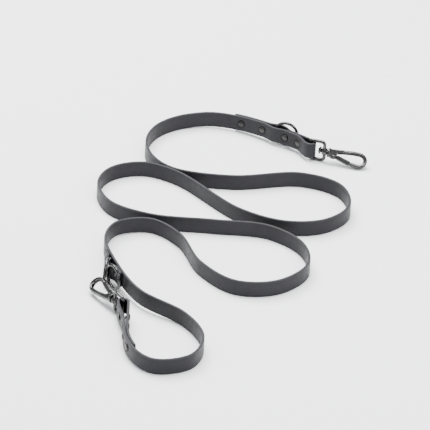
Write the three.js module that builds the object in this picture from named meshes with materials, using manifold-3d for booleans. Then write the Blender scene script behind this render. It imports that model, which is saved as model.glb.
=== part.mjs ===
// Training leash: a flat coated-webbing strap standing on its edge in loose loops, a swivel
// snap hook riveted into a fold at each end, a ring held in a pocket beside the lead hook, and
// a ring under a riveted patch, with a loose link ring beside it. The handle hook lies at
// those two rings, so that the end of the strap makes a hand loop.
// Units are millimetres. +X is right, +Y is away from the handle, +Z is up from the surface
// that the leash lies on. The origin is at the bottom centre of the whole laid-out leash.
import * as THREE from "three";
import { mergeVertices } from "three/addons/utils/BufferGeometryUtils.js";
import Module from "manifold-3d";

const wasm = await Module();
wasm.setup();

// ---- driving dimensions -------------------------------------------------------------------

const CLEARANCE = 0.3;
const STRAP = { width: 19, thickness: 3, step: 8, fineStep: 3, foldRadius: 5.5 };
const LAYER = STRAP.thickness + CLEARANCE;

// Distances of an end's rivets and of the tip of its folded length are measured along the
// strap from the middle of the fold. The flare is the length over which the two layers part
// to go round the eye's bar, and the fade is the length over which the strap comes back onto
// the route past the folded tip.
const LEAD_END = { rivets: [17.5, 37, 68.5, 97.5], tip: 107.5, flare: 20, fade: 36 };
const HANDLE_END = { rivets: [18.5, 37, 57, 77], tip: 88, flare: 42, fade: 36 };
const POCKET = { reach: 16, front: 3, frontAt: 52, back: 4.3, backAt: 46 };
const PATCH = { start: 1662.5, length: 53.5, rivets: [11.5, 42], pocketAt: 25, pocketDepth: 7.3 };

const RING = { radius: 13.6, wire: 1.8, height: 15.4 };
const EYE = { reach: 17.4, halfHeight: 11.8, wire: 1.9, corner: 4, height: 14, slack: 0.2 };
const BOSS = { radius: 4.6, bore: 3, inner: 2.6, outer: 2.9 };
const RIVET = { cap: 4.7, dome: 1.7, rim: 0.5, post: 2, hole: 2.4, seat: 5.1, stem: 0.9, bore: 1.3 };

const PIN = { head: 4.4, headLength: 3.2, shank: 2, start: -7.4, end: 7.4 };
const COLLAR = { radius: 5.2, start: 4.3, end: 6.6 };
const HOOK = { thickness: 5.8, width: 4.3, noseRadius: 7.5, noseCentre: 41.5, rootEnd: 22 };
const PIVOT = { x: 11.5, y: -2.2, pin: 0.8, hole: 1.05, boss: 2.6 };
const SLOT = { start: 8.6, end: 16.5, halfWidth: 2 };
const GATE = { tip: [32.3, -6.6], width: 4.2, thickness: 5.4, tangStart: 4.6, tang: [-1.7, 0.5] };
const SPRING = { radius: 1.5, wire: 0.22, from: 0.85, to: 1.65, turns: 2 };

// The line of the strap from the lead hook to the handle hook: x, y, and the height of the
// strap's lower edge, which is lifted where an eye or a ring wider than the strap holds it up.
// Beside each hook the line is that of the folded layer, which lies straight.
const ROUTE = [
  [89.8, 219.6, 4.5], [40, 253, 4.5], [-12, 277.5, 2], [-60, 270.5, 0.5], [-90.5, 246, 0],
  [-103, 209, 0], [-95.5, 171, 0], [-69, 142.8, 0], [-1, 132.5, 0], [77, 148, 0],
  [122, 127, 0], [132.5, 80, 0], [106, 45, 0], [62, 36, 0], [10, 57.5, 0],
  [-67, 137, 0], [-105, 152, 0], [-140, 137, 0], [-153.8, 102, 0], [-138.5, 59, 0],
  [-92, 34.5, 0], [-20, 29.5, 0], [42, 24, 0], [80, -9, 0], [87, -56, 0],
  [54, -96, 0], [8, -101, 0], [-32, -64, 0], [-58, -4, 0], [-91, 23.5, 0.3],
  [-127, 12, 1.2], [-139.5, -28, 4], [-125.5, -83, 5.5], [-96, -139, 4], [-45, -176, 0.2],
  [-24, -222, 0], [-37, -262, 0], [-77, -274, 0.4], [-102.5, -238, 2.8], [-107.6, -165.6, 4.5],
];

// Each hook assembly: the heading of the eye, and the heading, dip and roll of the hook about
// the swivel, in degrees.
const LEAD = { eyeHeading: -16, heading: -11.4, dip: 8.2, roll: 41 };
const HANDLE = { eyeHeading: 122, heading: 121, dip: 4, roll: -38 };
const LEAD_RING = { at: 53, side: 1.9, turn: 18 };
const PATCH_RING = { at: 20.5, side: -3.7, turn: -32 };
const LINK_RING = { at: 45.5, side: -8.9, turn: 10 };

// ---- materials ----------------------------------------------------------------------------

const paint = (color, roughness, metalness) =>
  new THREE.MeshStandardMaterial({ color, roughness, metalness });
const COATING = () => paint(0x4a4b4f, 0.6, 0);
const GUNMETAL = () => paint(0x5c5b5e, 0.22, 1);
const RIVET_METAL = () => paint(0x47474a, 0.3, 1);
const SPRING_STEEL = () => paint(0x8a8b8e, 0.35, 1);

// ---- solids -------------------------------------------------------------------------------

const degrees = THREE.MathUtils.degToRad;
const smooth = (x) => THREE.MathUtils.smoothstep(x, 0, 1);

function bare(geometry) {
  const plain = geometry.index ? geometry.toNonIndexed() : geometry.clone();
  plain.deleteAttribute("normal");
  plain.deleteAttribute("uv");
  return mergeVertices(plain, 1e-4);
}

function solid(geometry) {
  const closed = bare(geometry);
  return new wasm.Manifold(new wasm.Mesh({
    numProp: 3,
    vertProperties: new Float32Array(closed.attributes.position.array),
    triVerts: new Uint32Array(closed.index.array),
  }));
}

function toGeometry(manifold) {
  const mesh = manifold.getMesh();
  const geometry = new THREE.BufferGeometry();
  geometry.setAttribute("position", new THREE.BufferAttribute(new Float32Array(mesh.vertProperties), 3));
  geometry.setIndex(new THREE.BufferAttribute(new Uint32Array(mesh.triVerts), 1));
  return geometry;
}

function cylinder(radius, from, to, sides = 10) {
  return new THREE.CylinderGeometry(radius, radius, to - from, sides).translate(0, (from + to) / 2, 0);
}

function plate(points, from, to) {
  const outline = new THREE.Shape(points.map(([x, y]) => new THREE.Vector2(x, y)));
  const depth = to - from;
  return new THREE.ExtrudeGeometry(outline, { depth, bevelEnabled: false }).translate(0, 0, from);
}

function lathe(profile, sides = 10) {
  return new THREE.LatheGeometry(profile.map(([r, y]) => new THREE.Vector2(r, y)), sides);
}

function node(name, geometry, material) {
  const mesh = new THREE.Mesh(geometry, material);
  mesh.name = name;
  return mesh;
}

// ---- the strap's line ---------------------------------------------------------------------

const route = new THREE.CatmullRomCurve3(
  ROUTE.map(([x, y, lift]) => new THREE.Vector3(x, y, lift)), false, "centripetal");
route.arcLengthDivisions = 4000;
const LENGTH = route.getLength();

// A place on the route: its point, its direction in plan, and the level normal to its left.
function place(distance) {
  const u = THREE.MathUtils.clamp(distance / LENGTH, 0, 1);
  const along = route.getTangentAt(u).setZ(0).normalize();
  const point = route.getPointAt(u);
  point.z = Math.max(point.z, 0);
  return { point, along, left: new THREE.Vector3(-along.y, along.x, 0) };
}

function offset(at, sideways) {
  return at.point.clone().addScaledVector(at.left, sideways);
}

const swell = (distance, reach) =>
  Math.abs(distance) < reach ? Math.cos(Math.PI * distance / (2 * reach)) ** 2 : 0;

// How far apart the middles of the two layers lie at a distance from a fold.
function parting(end, distance) {
  const loop = 2 * STRAP.foldRadius - LAYER;
  return LAYER * (1 - smooth((distance - end.tip) / end.fade)) + loop * (1 - smooth(distance / end.flare));
}

function mainOffset(distance) {
  const pocket = POCKET.front * swell(distance - POCKET.frontAt, POCKET.reach);
  return parting(LEAD_END, distance) + pocket + parting(HANDLE_END, LENGTH - distance);
}

function foldedOffset(distance) {
  return -POCKET.back * swell(distance - POCKET.backAt, POCKET.reach);
}

// The turn round an eye's bar, from the folded layer to the main layer.
function turn(at, outward) {
  const centre = offset(at, STRAP.foldRadius);
  const points = [];
  const steps = 10;
  for (let i = 1; i < steps; i++) {
    const angle = Math.PI * i / steps;
    points.push(centre.clone()
      .addScaledVector(at.left, -STRAP.foldRadius * Math.cos(angle))
      .addScaledVector(at.along, outward * STRAP.foldRadius * Math.sin(angle)));
  }
  return points;
}

function spread(from, to, step) {
  const count = Math.max(1, Math.round(Math.abs(to - from) / step));
  return Array.from({ length: count + 1 }, (_, i) => from + (to - from) * i / count);
}

function strapLine() {
  const calm = LEAD_END.tip + LEAD_END.fade;
  const late = LENGTH - HANDLE_END.tip - HANDLE_END.fade;
  const folded = (distance) => offset(place(distance), foldedOffset(distance));
  const main = (distance) => offset(place(distance), mainOffset(distance));
  return [
    ...spread(LEAD_END.tip, 0, STRAP.fineStep).map(folded),
    ...turn(place(0), -1),
    ...spread(0, calm, STRAP.fineStep).map(main),
    ...spread(calm, late, STRAP.step).slice(1, -1).map(main),
    ...spread(late, LENGTH, STRAP.fineStep).map(main),
    ...turn(place(LENGTH), 1).reverse(),
    ...spread(LENGTH, LENGTH - HANDLE_END.tip, STRAP.fineStep).map(folded),
  ];
}

// A flat band standing on its edge along a line: four corners at each point of the line.
function band(line, width, thickness) {
  const corners = [];
  line.forEach((point, i) => {
    const before = line[Math.max(i - 1, 0)];
    const after = line[Math.min(i + 1, line.length - 1)];
    const along = after.clone().sub(before).setZ(0).normalize();
    const side = new THREE.Vector3(-along.y, along.x, 0).multiplyScalar(thickness / 2);
    for (const [sideways, up] of [[1, 0], [-1, 0], [-1, width], [1, width]]) {
      corners.push(point.x + side.x * sideways, point.y + side.y * sideways, point.z + up);
    }
  });
  const faces = [0, 1, 2, 0, 2, 3];
  const last = 4 * (line.length - 1);
  faces.push(last, last + 2, last + 1, last, last + 3, last + 2);
  for (let i = 0; i < last; i += 4) {
    for (let k = 0; k < 4; k++) {
      const next = (k + 1) % 4;
      faces.push(i + k, i + 4 + next, i + next, i + k, i + 4 + k, i + 4 + next);
    }
  }
  const geometry = new THREE.BufferGeometry();
  geometry.setAttribute("position", new THREE.BufferAttribute(new Float32Array(corners), 3));
  geometry.setIndex(faces);
  return geometry;
}

// ---- rivets -------------------------------------------------------------------------------

// A rivet's frame: its middle, its axis (level, across the strap), and half of the distance
// between the outer faces of the two layers that it joins.
function rivetFrame(distance, near, far) {
  const at = place(distance);
  const middle = offset(at, (near + far) / 2).add(new THREE.Vector3(0, 0, STRAP.width / 2));
  return { middle, axis: at.left, half: Math.abs(far - near) / 2 + STRAP.thickness / 2 - CLEARANCE };
}

function leadRivets() {
  return LEAD_END.rivets.map((d) => rivetFrame(d, foldedOffset(d), mainOffset(d)));
}

function handleRivets() {
  return HANDLE_END.rivets.map((d) => rivetFrame(LENGTH - d, 0, mainOffset(LENGTH - d)));
}

const patchOffset = (distance) =>
  -LAYER - PATCH.pocketDepth * swell(distance - PATCH.pocketAt, POCKET.reach);

function patchRivets() {
  return PATCH.rivets.map((d) => rivetFrame(PATCH.start + d, mainOffset(PATCH.start + d), patchOffset(d)));
}

function standAlong(geometry, { middle, axis }) {
  const turned = new THREE.Quaternion().setFromUnitVectors(new THREE.Vector3(0, 1, 0), axis);
  return geometry.applyQuaternion(turned).translate(middle.x, middle.y, middle.z);
}

// The hole for a rivet's post, with a flat seat pressed into each face for its caps.
function rivetCut(frame) {
  const reach = frame.half + 8;
  const parts = [
    solid(cylinder(RIVET.hole, -reach, reach)),
    solid(cylinder(RIVET.seat, frame.half - CLEARANCE, reach)),
    solid(cylinder(RIVET.seat, -reach, CLEARANCE - frame.half)),
  ];
  const cut = toGeometry(parts[0].add(parts[1]).add(parts[2]));
  return solid(standAlong(cut, frame));
}

// The tubular half of a rivet: a domed cap with a hollow post that runs through both layers.
function tubeHalf({ half }) {
  const { cap, dome, rim, post, bore } = RIVET;
  return lathe([
    [0, half + dome], [cap * 0.5, half + dome * 0.86], [cap * 0.86, half + dome * 0.5],
    [cap, half + rim], [cap, half], [post, half], [post, 1 - half], [bore, 1 - half],
    [bore, half], [0, half],
  ].reverse());
}

// The other half: a domed cap with a stem that is set inside the post.
function stemHalf({ half }) {
  const { cap, dome, rim, stem } = RIVET;
  return lathe([
    [0, -half - dome], [cap * 0.5, -half - dome * 0.86], [cap * 0.86, -half - dome * 0.5],
    [cap, -half - rim], [cap, -half], [stem, -half], [stem, half - 1], [0, half - 1],
  ]);
}

function rivetNodes(name, frames) {
  return frames.flatMap((frame, i) => [
    node(`${name}_rivet_${i + 1}_tube`, standAlong(tubeHalf(frame), frame), RIVET_METAL()),
    node(`${name}_rivet_${i + 1}_stem`, standAlong(stemHalf(frame), frame), RIVET_METAL()),
  ]);
}

function riveted(geometry, frames) {
  return toGeometry(frames.reduce((rest, frame) => rest.subtract(rivetCut(frame)), solid(geometry)));
}

// ---- strap and patch ----------------------------------------------------------------------

function strapNode() {
  const frames = [...leadRivets(), ...handleRivets(), ...patchRivets()];
  const blank = band(strapLine(), STRAP.width, STRAP.thickness);
  return node("strap", riveted(blank, frames), COATING());
}

function patchNode() {
  const line = spread(0, PATCH.length, STRAP.fineStep)
    .map((distance) => offset(place(PATCH.start + distance), patchOffset(distance)));
  const blank = band(line, STRAP.width, STRAP.thickness);
  return node("ring_patch", riveted(blank, patchRivets()), COATING());
}

// ---- rings --------------------------------------------------------------------------------

// A ring stands upright on the surface, with its plane along a level heading.
function ringNode(name, centre, heading) {
  const ring = new THREE.TorusGeometry(RING.radius, RING.wire, 8, 32).rotateX(Math.PI / 2);
  const mesh = node(name, ring, GUNMETAL());
  mesh.position.set(centre.x, centre.y, RING.height);
  mesh.rotation.z = heading;
  return mesh;
}

// A ring whose near side is held in a pocket of the strap.
function pocketRing(name, pocket, heading) {
  const out = new THREE.Vector3(Math.cos(heading), Math.sin(heading), 0);
  return ringNode(name, pocket.addScaledVector(out, RING.radius), heading);
}

function leadRing() {
  const at = place(LEAD_RING.at);
  const back = Math.atan2(-at.along.y, -at.along.x);
  return pocketRing("end_ring", offset(at, LEAD_RING.side), back + degrees(LEAD_RING.turn));
}

function patchRing() {
  const at = place(PATCH.start + PATCH_RING.at);
  const forward = Math.atan2(at.along.y, at.along.x);
  return pocketRing("patch_ring", offset(at, PATCH_RING.side), forward + degrees(PATCH_RING.turn));
}

function linkRing() {
  const at = place(PATCH.start + LINK_RING.at);
  const heading = Math.atan2(at.along.y, at.along.x) + degrees(LINK_RING.turn);
  return ringNode("link_ring", offset(at, LINK_RING.side), heading);
}

// ---- swivel eye ---------------------------------------------------------------------------

function eyeGeometry() {
  const { reach, halfHeight, wire, corner } = EYE;
  const outline = new THREE.Shape();
  outline.moveTo(0, 0);
  outline.lineTo(0, corner - halfHeight);
  outline.quadraticCurveTo(0, -halfHeight, corner, -halfHeight);
  outline.lineTo(reach - corner, -halfHeight);
  outline.quadraticCurveTo(reach, -halfHeight, reach, corner - halfHeight);
  outline.lineTo(reach, halfHeight - corner);
  outline.quadraticCurveTo(reach, halfHeight, reach - corner, halfHeight);
  outline.lineTo(corner, halfHeight);
  outline.quadraticCurveTo(0, halfHeight, 0, halfHeight - corner);
  outline.lineTo(0, 0);
  const points = outline.getPoints(4).slice(0, -1);
  const path = new THREE.CurvePath();
  points.forEach((point, i) => {
    const next = points[(i + 1) % points.length];
    path.add(new THREE.LineCurve3(
      new THREE.Vector3(point.x, 0, point.y), new THREE.Vector3(next.x, 0, next.y)));
  });
  const loop = new THREE.CatmullRomCurve3(path.getSpacedPoints(36).slice(0, -1), true);
  const bar = solid(new THREE.TubeGeometry(loop, 36, wire, 8, true));
  const boss = solid(lathe([
    [0, -BOSS.inner], [BOSS.radius - 0.8, -BOSS.inner], [BOSS.radius, 0],
    [BOSS.radius - 0.8, BOSS.outer], [0, BOSS.outer],
  ], 14).rotateZ(-Math.PI / 2).translate(reach, 0, 0));
  const bore = solid(cylinder(BOSS.bore, -8, 8, 14).rotateZ(-Math.PI / 2).translate(reach, 0, 0));
  return toGeometry(bar.add(boss).subtract(bore));
}

// ---- snap hook, in a frame with +X along the swivel's axis and +Y towards the spine ----------

function hookLine() {
  const { noseCentre, noseRadius } = HOOK;
  const points = [[8, 1.4], [16, 3.4], [25, 5.5], [33, 6.9]].map(([x, y]) => new THREE.Vector3(x, y, 0));
  for (const angle of spread(90, -90, 22.5)) {
    points.push(new THREE.Vector3(
      noseCentre + noseRadius * Math.cos(degrees(angle)), noseRadius * Math.sin(degrees(angle)), 0));
  }
  points.push(new THREE.Vector3(33.2, -6.9, 0));
  return new THREE.CatmullRomCurve3(points, false, "centripetal");
}

function ovalSection(width, height, sides = 10) {
  return new THREE.Shape(new THREE.EllipseCurve(0, 0, width / 2, height / 2).getPoints(sides).slice(0, -1));
}

function hookBody() {
  const section = ovalSection(HOOK.thickness, HOOK.width);
  const wire = new THREE.ExtrudeGeometry(section, { steps: 26, extrudePath: hookLine() });
  const root = plate([
    [COLLAR.end - 0.4, -4.2], [9, -5], [11.5, -5.4], [14, -4.6], [14.9, -2.2], [14.7, 0.4],
    [15.4, 1.7], [19, 2.7], [HOOK.rootEnd, 3.4], [HOOK.rootEnd, 6.8], [16, 5.4], [COLLAR.end - 0.4, 4],
  ], -HOOK.thickness / 2, HOOK.thickness / 2);
  const { radius, start, end } = COLLAR;
  const collar = lathe([
    [0, start], [radius - 0.6, start], [radius, start + 0.5], [radius, end - 0.5], [radius - 0.6, end],
    [0, end],
  ], 16).rotateZ(-Math.PI / 2);
  const bore = cylinder(PIN.shank + CLEARANCE, 0, PIN.end + CLEARANCE, 10).rotateZ(-Math.PI / 2);
  const slot = plate([
    [SLOT.start, -8], [SLOT.end, -8], [SLOT.end, 1.4], [14, 1.4], [11.5, 0.9], [9.4, 0.2], [SLOT.start, -1],
  ], -SLOT.halfWidth, SLOT.halfWidth);
  const pinHole = cylinder(PIVOT.hole, -8, 8, 10).rotateX(Math.PI / 2).translate(PIVOT.x, PIVOT.y, 0);
  return toGeometry(solid(wire).add(solid(root)).add(solid(collar))
    .subtract(solid(bore)).subtract(solid(slot)).subtract(solid(pinHole)));
}

// The gate lies along +X from its pivot at the origin, and is turned to meet the nose.
function gateGeometry(span) {
  const { width, thickness, tangStart, tang } = GATE;
  const half = width / 2;
  const bar = plate([
    [tangStart, -half], [span - 0.6, -half], [span, -half + 0.8], [span, half - 0.8], [span - 0.6, half],
    [tangStart + 1.2, half], [tangStart, half - 1],
  ], -thickness / 2, thickness / 2);
  const ear = plate([[0, -1.8], [tangStart + 1, -half + 0.2], [tangStart + 1, half - 0.2], [0, 1.6]], ...tang);
  const boss = cylinder(PIVOT.boss, ...tang, 14).rotateX(Math.PI / 2);
  const hole = cylinder(PIVOT.hole, -8, 8, 10).rotateX(Math.PI / 2);
  return toGeometry(solid(bar).add(solid(ear)).add(solid(boss)).subtract(solid(hole)));
}

function gateMesh(name) {
  const [x, y] = GATE.tip;
  const mesh = node(name, gateGeometry(Math.hypot(x - PIVOT.x, y - PIVOT.y)), GUNMETAL());
  mesh.position.set(PIVOT.x, PIVOT.y, 0);
  mesh.rotation.z = Math.atan2(y - PIVOT.y, x - PIVOT.x);
  return mesh;
}

function swivelPin() {
  const { head, headLength, shank, start, end } = PIN;
  return lathe([
    [0, start], [head * 0.6, start + 0.4], [head, start + 1.7], [head * 0.9, start + headLength],
    [shank, start + headLength + 0.2], [shank, end], [0, end],
  ]).rotateZ(-Math.PI / 2);
}

function gatePin() {
  const reach = HOOK.thickness / 2 + 0.2;
  return cylinder(PIVOT.pin, -reach, reach, 10).rotateX(Math.PI / 2).translate(PIVOT.x, PIVOT.y, 0);
}

function gateSpring() {
  const { radius, wire, from, to, turns } = SPRING;
  const points = spread(0, turns * 360, 45).map((angle) => new THREE.Vector3(
    PIVOT.x + radius * Math.cos(degrees(angle)), PIVOT.y + radius * Math.sin(degrees(angle)),
    from + (to - from) * angle / (turns * 360)));
  const coil = new THREE.CatmullRomCurve3(points);
  return new THREE.ExtrudeGeometry(ovalSection(2 * wire, 2 * wire, 6), { steps: 24, extrudePath: coil });
}

function hookAssembly(name, end, { eyeHeading, heading, dip, roll }) {
  const assembly = new THREE.Group();
  const centre = offset(end, STRAP.foldRadius);
  const eye = node(`${name}_eye`, eyeGeometry(), GUNMETAL());
  const forward = degrees(eyeHeading);
  const ahead = (distance) => new THREE.Vector3(
    centre.x + distance * Math.cos(forward), centre.y + distance * Math.sin(forward), EYE.height);
  eye.position.copy(ahead(EYE.slack));
  eye.rotation.z = forward;
  const hook = new THREE.Group();
  hook.position.copy(ahead(EYE.slack + EYE.reach));
  hook.rotation.set(degrees(roll), degrees(dip), degrees(heading), "ZYX");
  hook.add(
    node(`${name}_hook_body`, hookBody(), GUNMETAL()),
    node(`${name}_swivel_pin`, swivelPin(), GUNMETAL()),
    gateMesh(`${name}_gate`),
    node(`${name}_gate_pin`, gatePin(), GUNMETAL()),
    node(`${name}_gate_spring`, gateSpring(), SPRING_STEEL()),
  );
  assembly.add(eye, hook);
  return assembly;
}

// ---- the whole leash ----------------------------------------------------------------------

const leash = new THREE.Group();
leash.add(
  strapNode(),
  patchNode(),
  leadRing(),
  patchRing(),
  linkRing(),
  hookAssembly("lead", place(0), LEAD),
  hookAssembly("handle", place(LENGTH), HANDLE),
  ...rivetNodes("lead", leadRivets()),
  ...rivetNodes("handle", handleRivets()),
  ...rivetNodes("patch", patchRivets()),
);

export default leash;
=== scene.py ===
"""A flat coated-webbing training leash: strap, riveted ends, swivel snap hooks and rings."""
import math

import bmesh
import bpy
import numpy as np
from mathutils import Matrix, Vector


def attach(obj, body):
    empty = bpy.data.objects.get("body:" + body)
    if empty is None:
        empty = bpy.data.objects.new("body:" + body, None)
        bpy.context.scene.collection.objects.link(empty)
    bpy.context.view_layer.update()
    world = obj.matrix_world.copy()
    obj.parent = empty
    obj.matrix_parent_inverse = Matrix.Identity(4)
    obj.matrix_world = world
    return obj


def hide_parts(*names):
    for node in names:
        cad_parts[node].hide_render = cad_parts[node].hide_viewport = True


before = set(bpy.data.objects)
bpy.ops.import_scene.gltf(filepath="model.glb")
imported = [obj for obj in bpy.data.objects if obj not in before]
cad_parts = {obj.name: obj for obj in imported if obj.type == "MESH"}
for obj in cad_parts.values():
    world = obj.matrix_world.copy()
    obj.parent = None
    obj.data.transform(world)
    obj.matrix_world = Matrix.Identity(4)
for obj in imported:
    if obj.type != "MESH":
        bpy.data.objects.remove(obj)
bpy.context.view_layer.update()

# ---- sizes, in metres -----------------------------------------------------------------------

MM = 0.001
WIDTH = 19 * MM
THICKNESS = 3 * MM
LAYER = 3.3 * MM
CLEARANCE = 0.3 * MM
FOLD_RADIUS = 5.5 * MM
EDGE_RADIUS = 0.9 * MM
EDGE_ARCS = 5
CROWN = 0.04 * MM
FACE_LEVELS = 15
END_TAPER = 0.75
TURN_STEPS = 25
STEP = 2 * MM
RIVET_STEP = 0.8 * MM
RIVET_REACH = 8.5

# Each end: the rivets and the folded tip, measured from the middle of the fold.
LEAD_END = {"rivets": [17.5, 37, 68.5, 97.5], "tip": 107.5, "flare": 20, "fade": 36}
HANDLE_END = {"rivets": [18.5, 37, 57, 77], "tip": 88, "flare": 42, "fade": 36}
POCKET = {"reach": 16, "front": 3, "front_at": 52, "back": 4.3, "back_at": 46}
PATCH = {"start": 1662.5, "length": 53.5, "rivets": [11.5, 42], "pocket_at": 25, "depth": 7.3}
RIVET = {"cap": 3.9, "dome": 1.75, "rim": 0.35, "post": 1.9, "roll": 0.15, "sides": 40}
RING = {"sides": 24, "turns": 144, "weld_rise": 0.035, "weld_spread": 1.6}
VOXEL = 0.3 * MM
SMOOTH_PASSES = 4
DIMPLE = {"depth": 0.75, "inner": 4.3, "outer": 5.7}

# The line of the strap from the lead hook to the handle hook: x, y and the height of its
# lower edge, in millimetres, as in the CAD model.
ROUTE = [
    [89.8, 219.6, 4.5], [40, 253, 4.5], [-12, 277.5, 2], [-60, 270.5, 0.5], [-90.5, 246, 0],
    [-103, 209, 0], [-95.5, 171, 0], [-69, 142.8, 0], [-1, 132.5, 0], [77, 148, 0],
    [122, 127, 0], [132.5, 80, 0], [106, 45, 0], [62, 36, 0], [10, 57.5, 0],
    [-67, 137, 0], [-105, 152, 0], [-140, 137, 0], [-153.8, 102, 0], [-138.5, 59, 0],
    [-92, 34.5, 0], [-20, 29.5, 0], [42, 24, 0], [80, -9, 0], [87, -56, 0],
    [54, -96, 0], [8, -101, 0], [-32, -64, 0], [-58, -4, 0], [-91, 23.5, 0.3],
    [-127, 12, 1.2], [-139.5, -28, 4], [-125.5, -83, 5.5], [-96, -139, 4], [-45, -176, 0.2],
    [-24, -222, 0], [-37, -262, 0], [-77, -274, 0.4], [-102.5, -238, 2.8], [-107.6, -165.6, 4.5],
]

# ---- camera ---------------------------------------------------------------------------------

CAMERA = {"target": (-0.019, 0.072, 0), "distance": 5.1136, "pitch": 30, "roll": 3.3, "lens": 376.7}


def add_camera():
    pitch, roll = math.radians(CAMERA["pitch"]), math.radians(CAMERA["roll"])
    right = Vector((1, 0, 0))
    up = Vector((0, math.sin(pitch), math.cos(pitch)))
    forward = Vector((0, math.cos(pitch), -math.sin(pitch)))
    side = right * math.cos(roll) + up * math.sin(roll)
    top = -right * math.sin(roll) + up * math.cos(roll)
    data = bpy.data.cameras.new("camera")
    data.lens = CAMERA["lens"]
    data.sensor_width = 36
    data.clip_end = 50
    camera = bpy.data.objects.new("camera", data)
    bpy.context.scene.collection.objects.link(camera)
    turn = Matrix((side, top, -forward)).transposed().to_4x4()
    camera.matrix_world = Matrix.Translation(Vector(CAMERA["target"]) - forward * CAMERA["distance"]) @ turn
    bpy.context.scene.camera = camera


# ---- the strap's line, worked out in millimetres ----------------------------------------------

def smooth(x):
    x = np.clip(x, 0, 1)
    return x * x * (3 - 2 * x)


def swell(distance, reach):
    return np.where(np.abs(distance) < reach, np.cos(np.pi * distance / (2 * reach)) ** 2, 0)


def curve_points(t):
    """Points of the centripetal Catmull-Rom curve through ROUTE, at t from 0 to 1."""
    route = np.array(ROUTE, float)
    route = np.vstack([2 * route[0] - route[1], route, 2 * route[-1] - route[-2]])
    spans = len(route) - 3
    at = np.clip(np.asarray(t, float), 0, 1) * spans
    first = np.minimum(at.astype(int), spans - 1)
    weight = (at - first)[:, None]
    p0, p1, p2, p3 = (route[first + k] for k in range(4))
    d0, d1, d2 = (np.sqrt(np.linalg.norm(b - a, axis=1))[:, None] for a, b in ((p0, p1), (p1, p2), (p2, p3)))
    start = ((p1 - p0) / d0 - (p2 - p0) / (d0 + d1) + (p2 - p1) / d1) * d1
    end = ((p2 - p1) / d1 - (p3 - p1) / (d1 + d2) + (p3 - p2) / d2) * d1
    c2 = 3 * (p2 - p1) - 2 * start - end
    c3 = 2 * (p1 - p2) + start + end
    return p1 + weight * (start + weight * (c2 + weight * c3))


SAMPLES = np.linspace(0, 1, 4001)
TRAVEL = np.concatenate([[0], np.cumsum(np.linalg.norm(np.diff(curve_points(SAMPLES), axis=0), axis=1))])
LENGTH = TRAVEL[-1]


def place(distance):
    """The point, the direction in plan and the level normal to the left, at distances on the route."""
    t = np.interp(np.clip(distance, 0, LENGTH), TRAVEL, SAMPLES)
    point = curve_points(t)
    point[:, 2] = np.maximum(point[:, 2], 0)
    along = curve_points(t + 1e-4) - curve_points(t - 1e-4)
    along[:, 2] = 0
    along /= np.linalg.norm(along, axis=1)[:, None]
    left = np.stack([-along[:, 1], along[:, 0], np.zeros(len(along))], axis=1)
    return point, along, left


def offset(distance, sideways):
    point, _, left = place(distance)
    return point + left * np.asarray(sideways, float)[:, None]


def parting(end, distance):
    layer = LAYER / MM
    loop = 2 * FOLD_RADIUS / MM - layer
    held = layer * (1 - smooth((distance - end["tip"]) / end["fade"]))
    return held + loop * (1 - smooth(distance / end["flare"]))


def main_offset(distance):
    pocket = POCKET["front"] * swell(distance - POCKET["front_at"], POCKET["reach"])
    return parting(LEAD_END, distance) + pocket + parting(HANDLE_END, LENGTH - distance)


def folded_offset(distance):
    return -POCKET["back"] * swell(distance - POCKET["back_at"], POCKET["reach"])


def patch_offset(distance):
    return -LAYER / MM - PATCH["depth"] * swell(distance - PATCH["pocket_at"], POCKET["reach"])


def turn(distance, outward):
    """The turn round an eye's bar, from the folded layer to the main layer."""
    point, along, left = (row[0] for row in place(np.array([distance])))
    radius = FOLD_RADIUS / MM
    angle = np.linspace(0, math.pi, TURN_STEPS)[1:-1, None]
    return point + left * radius * (1 - np.cos(angle)) + along * outward * radius * np.sin(angle)


def stations(start, stop, rivets):
    """Distances from start to stop, closer together within RIVET_REACH of a rivet."""
    low, high = min(start, stop), max(start, stop)
    out = [low]
    while out[-1] < high:
        near = min(abs(out[-1] - r) for r in rivets)
        out.append(out[-1] + (RIVET_STEP if near < RIVET_REACH else STEP) / MM)
    out[-1] = high
    return np.array(out if start < stop else out[::-1])


def strap_line():
    lead = LEAD_END["rivets"]
    late = [LENGTH - r for r in HANDLE_END["rivets"]]
    patch = [PATCH["start"] + r for r in PATCH["rivets"]]
    folded_lead = stations(LEAD_END["tip"], 0, lead)
    main = stations(0, LENGTH, lead + late + patch)
    folded_handle = stations(LENGTH, LENGTH - HANDLE_END["tip"], late)
    return np.vstack([
        offset(folded_lead, folded_offset(folded_lead)), turn(0, -1),
        offset(main, main_offset(main)), turn(LENGTH, 1)[::-1],
        offset(folded_handle, folded_offset(folded_handle)),
    ]) * MM


def patch_line():
    distance = stations(0, PATCH["length"], PATCH["rivets"])
    return offset(PATCH["start"] + distance, patch_offset(distance)) * MM


# ---- rivets' places -----------------------------------------------------------------------------

def rivet_frames(distances, near, far):
    """For each rivet: its middle, its axis and half of the distance between the caps' seats."""
    distances, near, far = (np.asarray(v, float) for v in (distances, near, far))
    middles = offset(distances, (near + far) / 2) * MM
    axes = place(distances)[2]
    halves = (np.abs(far - near) / 2) * MM + THICKNESS / 2 - CLEARANCE
    middles[:, 2] += WIDTH / 2
    return [(Vector(m), Vector(a), float(h)) for m, a, h in zip(middles, axes, halves)]


def all_rivets():
    lead = np.array(LEAD_END["rivets"], float)
    handle = LENGTH - np.array(HANDLE_END["rivets"], float)
    on_patch = np.array(PATCH["rivets"], float)
    patch = PATCH["start"] + on_patch
    return {
        "lead": rivet_frames(lead, folded_offset(lead), main_offset(lead)),
        "handle": rivet_frames(handle, np.zeros(len(handle)), main_offset(handle)),
        "patch": rivet_frames(patch, main_offset(patch), patch_offset(on_patch)),
    }


# ---- meshes -------------------------------------------------------------------------------------

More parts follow.
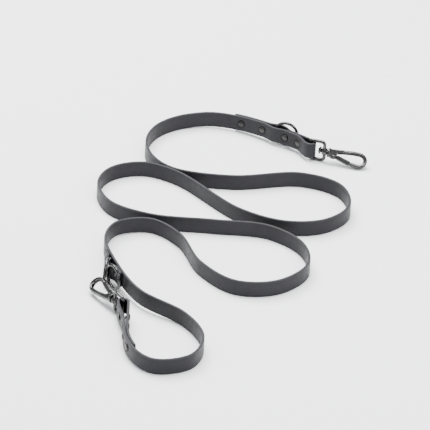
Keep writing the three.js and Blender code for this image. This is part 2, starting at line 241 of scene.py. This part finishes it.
def mesh_object(name, verts, faces):
    mesh = bpy.data.meshes.new(name)
    mesh.from_pydata([tuple(v) for v in verts], [], faces)
    mesh.update()
    mesh.polygons.foreach_set("use_smooth", [True] * len(mesh.polygons))
    obj = bpy.data.objects.new(name, mesh)
    bpy.context.scene.collection.objects.link(obj)
    return obj


def section():
    """The strap's cross-section from above: (sideways, height) round the band, with round edges."""
    half, corner = THICKNESS / 2, EDGE_RADIUS
    levels = np.linspace(corner, WIDTH - corner, FACE_LEVELS)
    points = []
    for quarter, (cx, cz) in enumerate([(-1, 0), (1, 0), (1, 1), (-1, 1)]):
        centre = ((half - corner) * cx, corner if cz == 0 else WIDTH - corner)
        first = math.pi + quarter * math.pi / 2
        for i in range(EDGE_ARCS + 1):
            angle = first + i * math.pi / 2 / EDGE_ARCS
            points.append((centre[0] + corner * math.cos(angle), centre[1] + corner * math.sin(angle)))
        if quarter == 1:
            points += [(half + CROWN * math.sin(math.pi * z / WIDTH), z) for z in levels[1:-1]]
        if quarter == 3:
            points += [(-half - CROWN * math.sin(math.pi * z / WIDTH), z) for z in levels[::-1][1:-1]]
    return np.array(points)


def strap_mesh(name, line, rivets):
    """A band on its edge along a line, with its faces pressed in round each rivet."""
    ring = section()
    before, after = np.roll(line, 1, axis=0), np.roll(line, -1, axis=0)
    before[0], after[-1] = line[0], line[-1]
    along = after - before
    along[:, 2] = 0
    along /= np.linalg.norm(along, axis=1)[:, None]
    side = np.stack([-along[:, 1], along[:, 0], np.zeros(len(along))], axis=1)
    taper = np.ones(len(line))
    taper[0] = taper[-1] = END_TAPER
    sideways = ring[None, :, 0, None] * taper[:, None, None]
    verts = line[:, None, :] + side[:, None, :] * sideways
    verts[:, :, 2] += ring[None, :, 1]
    travel = np.concatenate([[0], np.cumsum(np.linalg.norm(np.diff(line, axis=0), axis=1))])
    lay = np.stack(np.broadcast_arrays(travel[:, None], ring[None, :, 1], ring[None, :, 0]), axis=2)
    flat = verts.reshape(-1, 3)
    inward = np.repeat(side, len(ring), axis=0) * np.tile(-np.sign(ring[:, 0]), len(line))[:, None]
    for middle, axis, half in rivets:
        apart = flat - np.array(middle)
        depth = apart @ np.array(axis)
        away = np.linalg.norm(apart - depth[:, None] * np.array(axis), axis=1) / MM
        pressed = 1 - smooth((away - DIMPLE["inner"]) / (DIMPLE["outer"] - DIMPLE["inner"]))
        outer = (np.abs(np.abs(depth) - half - CLEARANCE) < 0.8 * MM) & (away < DIMPLE["outer"])
        flat[outer] += inward[outer] * (pressed[outer] * DIMPLE["depth"] * MM)[:, None]
    count = len(ring)
    faces = []
    for i in range(len(line) - 1):
        a, b = i * count, (i + 1) * count
        for k in range(count):
            m = (k + 1) % count
            faces.append((a + k, b + k, b + m, a + m))
    faces.append(tuple(range(count)))
    last = (len(line) - 1) * count
    faces.append(tuple(range(last + count - 1, last - 1, -1)))
    obj = mesh_object(name, flat, faces)
    store = obj.data.attributes.new("lay", "FLOAT_VECTOR", "POINT")
    store.data.foreach_set("vector", lay.reshape(-1).astype(np.float32))
    outward_faces(obj)
    return obj


def outward_faces(obj):
    work = bmesh.new()
    work.from_mesh(obj.data)
    bmesh.ops.recalc_face_normals(work, faces=work.faces)
    work.to_mesh(obj.data)
    work.free()


def lathe(name, profile, sides, middle, axis):
    """A closed solid turned about an axis: profile is (radius, distance along the axis)."""
    axis = axis.normalized()
    across = axis.orthogonal().normalized()
    other = axis.cross(across)
    verts, faces, rings = [], [], []
    for radius, height in profile:
        if radius < 1e-9:
            rings.append([len(verts)])
            verts.append(middle + axis * height)
            continue
        rings.append(list(range(len(verts), len(verts) + sides)))
        for i in range(sides):
            angle = 2 * math.pi * i / sides
            spoke = across * math.cos(angle) + other * math.sin(angle)
            verts.append(middle + axis * height + spoke * radius)
    for low, high in zip(rings, rings[1:]):
        for i in range(sides):
            j = (i + 1) % sides
            corners = [low[i % len(low)], low[j % len(low)], high[j % len(high)], high[i % len(high)]]
            faces.append(tuple(dict.fromkeys(corners)))
    obj = mesh_object(name, verts, faces)
    outward_faces(obj)
    return obj


def rivet_half(name, rivet, facing):
    """One half of a rivet: a domed cap with a rolled rim, and the start of its post."""
    middle, axis, half = rivet
    cap, dome, rim, post, roll = (RIVET[k] * MM for k in ("cap", "dome", "rim", "post", "roll"))
    profile = [(0, -0.8 * half), (post, -0.8 * half), (post, 0.0), (cap - roll, 0.0)]
    profile += [
        (cap - roll + roll * math.sin(a), rim / 2 - rim / 2 * math.cos(a))
        for a in np.linspace(0.4, math.pi / 2, 3)
    ]
    for angle in np.linspace(0, math.pi / 2, 12):
        radius = cap * math.cos(angle)
        profile.append((radius, rim + (dome - rim) * math.sin(angle)))
    profile[-1] = (0, dome)
    return lathe(name, profile, RIVET["sides"], middle + axis * (facing * half), axis * facing)


def ring_mesh(name, node):
    """A round wire ring in the plane and at the centre of the CAD ring, with its butt weld."""
    points = np.array([v.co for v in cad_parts[node].data.vertices], float)
    centre = points.mean(axis=0)
    normal = np.linalg.svd(points - centre, full_matrices=False)[2][2]
    away = points - centre
    flat = away - (away @ normal)[:, None] * normal
    reach = np.linalg.norm(flat, axis=1)
    wire = (reach.max() - reach.min()) / 2
    radius = (reach.max() + reach.min()) / 2
    up = Vector((0, 0, 1))
    across = up.cross(Vector(normal)).normalized()
    sides, turns = RING["sides"], RING["turns"]
    verts, faces = [], []
    for i in range(turns):
        angle = 2 * math.pi * i / turns
        spoke = across * math.cos(angle) + up * math.sin(angle)
        from_weld = (i + turns // 2) % turns - turns // 2
        weld = 1 + RING["weld_rise"] * math.exp(-((from_weld / RING["weld_spread"]) ** 2))
        for k in range(sides):
            turn_angle = 2 * math.pi * k / sides
            out = wire * weld * math.cos(turn_angle)
            verts.append(Vector(centre) + spoke * (radius + out)
                         + Vector(normal) * (wire * weld * math.sin(turn_angle)))
            nxt = ((i + 1) % turns) * sides
            faces.append((i * sides + k, nxt + k, nxt + (k + 1) % sides, i * sides + (k + 1) % sides))
    obj = mesh_object(name, verts, faces)
    outward_faces(obj)
    return obj


def cast(name, node, grow):
    """A casting: the CAD solid with its corners rounded and its surface made smooth.

    Smoothing draws a thin wall in, so the surface is moved out again by grow.
    """
    obj = bpy.data.objects.new(name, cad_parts[node].data.copy())
    bpy.context.scene.collection.objects.link(obj)
    obj.data.materials.clear()
    remesh = obj.modifiers.new("remesh", "REMESH")
    remesh.mode = "VOXEL"
    remesh.voxel_size = VOXEL
    soften = obj.modifiers.new("soften", "SMOOTH")
    soften.factor = 0.5
    soften.iterations = SMOOTH_PASSES
    swollen = obj.modifiers.new("swollen", "DISPLACE")
    swollen.mid_level = 0
    swollen.strength = grow
    bpy.context.view_layer.update()
    done = bpy.data.meshes.new_from_object(obj.evaluated_get(bpy.context.evaluated_depsgraph_get()))
    obj.modifiers.clear()
    obj.data = done
    done.polygons.foreach_set("use_smooth", [True] * len(done.polygons))
    return obj


# ---- materials ------------------------------------------------------------------------------------

WARP_PITCH = 1.05 * MM
WEFT_PITCH = 0.9 * MM
COATING_DARK = (0.0153, 0.0148, 0.0175, 1)
COATING_LIGHT = (0.0205, 0.0198, 0.0232, 1)
COATING_SCUFF = (0.031, 0.030, 0.034, 1)
# The edge colour is partly wear and partly a painted highlight along the strap's top and bottom edges.
COATING_EDGE_WEAR_AND_HIGHLIGHT = (0.050, 0.049, 0.053, 1)
FLOOR_TONE = 0.96
WORLD = {"tone": (0.93, 0.96, 1.0, 1), "strength": 1.05}
LIGHTS = {
    "key": {"at": (-0.9, 1.3, 2.4), "size": 1.6, "power": 150},
    "fill": {"at": (1.6, -1.6, 2.0), "size": 1.4, "power": 48},
    "top": {"at": (0.1, 0.2, 3.0), "size": 1.2, "power": 125},
}


class Nodes:
    """Short names for making a material's nodes."""

    def __init__(self, name):
        self.material = bpy.data.materials.new(name)
        self.material.use_nodes = True
        self.tree = self.material.node_tree
        self.shader = self.tree.nodes["Principled BSDF"]

    def add(self, kind, inputs=None, **settings):
        node = self.tree.nodes.new(kind)
        for key, value in settings.items():
            setattr(node, key, value)
        for key, value in (inputs or {}).items():
            if isinstance(value, bpy.types.NodeSocket):
                self.tree.links.new(value, node.inputs[key])
            else:
                node.inputs[key].default_value = value
        return node

    def math(self, operation, a, b=0.0):
        return self.add("ShaderNodeMath", {0: a, 1: b}, operation=operation).outputs[0]

    def span(self, value, low, high, out_low, out_high):
        found = self.add("ShaderNodeMapRange", {0: value, 1: low, 2: high, 3: out_low, 4: out_high})
        return found.outputs[0]

    def noise(self, vector, scale, detail=3.0, roughness=0.55):
        found = self.add("ShaderNodeTexNoise", {
            "Vector": vector, "Scale": scale, "Detail": detail, "Roughness": roughness})
        return found.outputs[0]

    def blend(self, amount, low, high):
        mix = self.add("ShaderNodeMix", {"Factor": amount}, data_type="RGBA")
        for socket, value in ((mix.inputs[6], low), (mix.inputs[7], high)):
            if isinstance(value, bpy.types.NodeSocket):
                self.tree.links.new(value, socket)
            else:
                socket.default_value = value
        return mix.outputs[2]

    def bump(self, height, strength, distance, normal=None):
        inputs = {"Height": height, "Strength": strength, "Distance": distance}
        if normal is not None:
            inputs["Normal"] = normal
        return self.add("ShaderNodeBump", inputs).outputs[0]

    def finish(self, **sockets):
        for key, value in sockets.items():
            socket = self.shader.inputs[key.replace("_", " ")]
            if isinstance(value, bpy.types.NodeSocket):
                self.tree.links.new(value, socket)
            else:
                socket.default_value = value
        return self.material


def grey(value, warm=0.0):
    return (value * (1 + warm), value, value * (1 - warm), 1)


def coating():
    """Charcoal coated webbing: a satin skin through which the weave shows faintly."""
    n = Nodes("coated_webbing")
    lay = n.add("ShaderNodeAttribute", attribute_name="lay").outputs["Vector"]
    spot = n.add("ShaderNodeTexCoord").outputs["Object"]
    split = n.add("ShaderNodeSeparateXYZ", {0: lay})
    along, height = split.outputs[0], split.outputs[1]
    warp = n.math("SINE", n.math("MULTIPLY", height, 2 * math.pi / WARP_PITCH))
    weft = n.math("SINE", n.math("MULTIPLY", along, 2 * math.pi / WEFT_PITCH))
    weave = n.math("MULTIPLY", warp, weft)
    cloud = n.noise(spot, 26.0, 4.0)
    grain = n.noise(spot, 900.0, 4.0, 0.6)
    scuff = n.noise(spot, 210.0, 6.0, 0.7)
    # Painted highlight and wear: the strap is made lighter along its top and bottom edges, where light
    # catches the rounded edges and where the coating rubs.
    rim = n.math("ABSOLUTE", n.math("SUBTRACT", height, WIDTH / 2))
    edge = n.span(rim, WIDTH / 2 - 1.5 * MM, WIDTH / 2 - 0.2 * MM, 0.0, 1.0)
    base = n.blend(n.span(cloud, 0.3, 0.7, 0.0, 1.0), COATING_DARK, COATING_LIGHT)
    marked = n.blend(n.span(scuff, 0.62, 0.8, 0.0, 0.35), base, COATING_SCUFF)
    edge_wear_and_highlight = n.blend(n.math("MULTIPLY", edge, n.span(grain, 0.35, 0.65, 0.35, 0.75)), marked, COATING_EDGE_WEAR_AND_HIGHLIGHT)
    skin = n.bump(grain, 0.28, 0.05 * MM)
    woven = n.bump(weave, 0.22, 0.06 * MM, skin)
    rough = n.span(n.math("ADD", scuff, n.math("MULTIPLY", grain, 0.4)), 0.5, 0.9, 0.38, 0.56)
    return n.finish(Base_Color=edge_wear_and_highlight, Roughness=rough, Normal=woven, Specular_IOR_Level=0.13)


def gunmetal(name, dark, light, rough):
    """Polished dark nickel plate, with fine polishing marks, dulled patches and faint pits."""
    n = Nodes(name)
    spot = n.add("ShaderNodeTexCoord").outputs["Object"]
    cloud = n.noise(spot, 70.0, 4.0)
    pits = n.noise(spot, 620.0, 3.0)
    marks = n.add("ShaderNodeMapping", {"Vector": spot, "Scale": (1.0, 1.0, 7.0)}).outputs[0]
    lines = n.noise(marks, 340.0, 5.0, 0.7)
    tone = n.blend(n.span(cloud, 0.3, 0.7, 0.0, 1.0), grey(dark, 0.01), grey(light, 0.02))
    roughness = n.span(n.math("ADD", cloud, n.math("MULTIPLY", lines, 0.6)), 0.5, 1.1, rough, rough + 0.12)
    surface = n.bump(lines, 0.10, 0.03 * MM)
    surface = n.bump(n.span(pits, 0.62, 0.72, 0.0, 1.0), 0.15, 0.04 * MM, surface)
    return n.finish(Base_Color=tone, Roughness=roughness, Normal=surface, Metallic=1.0)


def floor_material():
    n = Nodes("paper")
    spot = n.add("ShaderNodeTexCoord").outputs["Object"]
    shade = n.noise(spot, 3.0, 2.0)
    tone = n.blend(n.span(shade, 0.3, 0.7, 0.0, 1.0), grey(FLOOR_TONE), grey(FLOOR_TONE * 1.01))
    return n.finish(Base_Color=tone, Roughness=0.9, Specular_IOR_Level=0.1)


# How far each casting's surface is moved out after it is smoothed. The gates and hook bodies
# then meet, as the gaps between their CAD solids are only about 0.3 mm.
GROW = {"eye": 0.28 * MM, "hook_body": 0.45 * MM, "gate": 0.3 * MM, "swivel_pin": 0.15 * MM}

# ---- the pieces ---------------------------------------------------------------------------------------

def dress(obj, material, body, slot, *nodes):
    obj.data.materials.clear()
    obj.data.materials.append(material)
    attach(obj, body)
    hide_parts(*nodes)
    return obj


def keep(node, material):
    """A CAD node that stays, with a procedural material in its slots."""
    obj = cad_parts[node]
    for k in range(len(obj.material_slots)):
        obj.material_slots[k].material = material
    if not obj.material_slots:
        obj.data.materials.append(material)


def make_straps(rivets):
    material = coating()
    line = strap_line()
    together = [rivet for group in rivets.values() for rivet in group]
    strap = dress(strap_mesh("leash_strap", line, together), material, "strap", "coating", "strap")
    patch = strap_mesh("ring_patch_strap", patch_line(), rivets["patch"])
    dress(patch, material, "strap", "coating", "ring_patch")
    middle = line.copy()
    middle[:, 2] += WIDTH / 2


def make_rivets(rivets):
    material = gunmetal("rivet_plate", 0.03, 0.05, 0.28)
    for group, frames in rivets.items():
        for i, rivet in enumerate(frames):
            for half, facing in (("tube", 1), ("stem", -1)):
                node = f"{group}_rivet_{i + 1}_{half}"
                dress(rivet_half(f"{node}_cap", rivet, facing), material, "strap", "rivet_metal", node)


def make_metal():
    plate = gunmetal("gunmetal_plate", 0.045, 0.085, 0.10)
    spring = gunmetal("spring_wire", 0.45, 0.55, 0.25)
    for node in ("end_ring", "patch_ring", "link_ring"):
        dress(ring_mesh(f"{node}_wire", node), plate, node, "gunmetal", node)
    for hook in ("lead", "handle"):
        for part, body in (("eye", "eye"), ("hook_body", "hook"), ("gate", "gate"), ("swivel_pin", "hook")):
            node = f"{hook}_{part}"
            piece = cast(f"{node}_casting", node, GROW[part])
            dress(piece, plate, f"{hook}_{body}", "gunmetal", node)
        keep(f"{hook}_gate_pin", plate)
        keep(f"{hook}_gate_spring", spring)


def make_stage():
    bpy.ops.mesh.primitive_plane_add(size=14, location=(0, 0, -0.0002))
    floor = bpy.context.object
    floor.name = "floor"
    floor.data.materials.append(floor_material())
    world = bpy.data.worlds.new("world")
    world.use_nodes = True
    background = world.node_tree.nodes["Background"]
    background.inputs[0].default_value = WORLD["tone"]
    background.inputs[1].default_value = WORLD["strength"]
    bpy.context.scene.world = world
    for name, light in LIGHTS.items():
        data = bpy.data.lights.new(name, "AREA")
        data.size = light["size"]
        data.energy = light["power"]
        lamp = bpy.data.objects.new(name, data)
        lamp.location = light["at"]
        lamp.rotation_euler = (-Vector(light["at"])).to_track_quat("-Z", "Y").to_euler()
        bpy.context.scene.collection.objects.link(lamp)


add_camera()
RIVETS = all_rivets()
make_metal()
make_straps(RIVETS)
make_rivets(RIVETS)
make_stage()
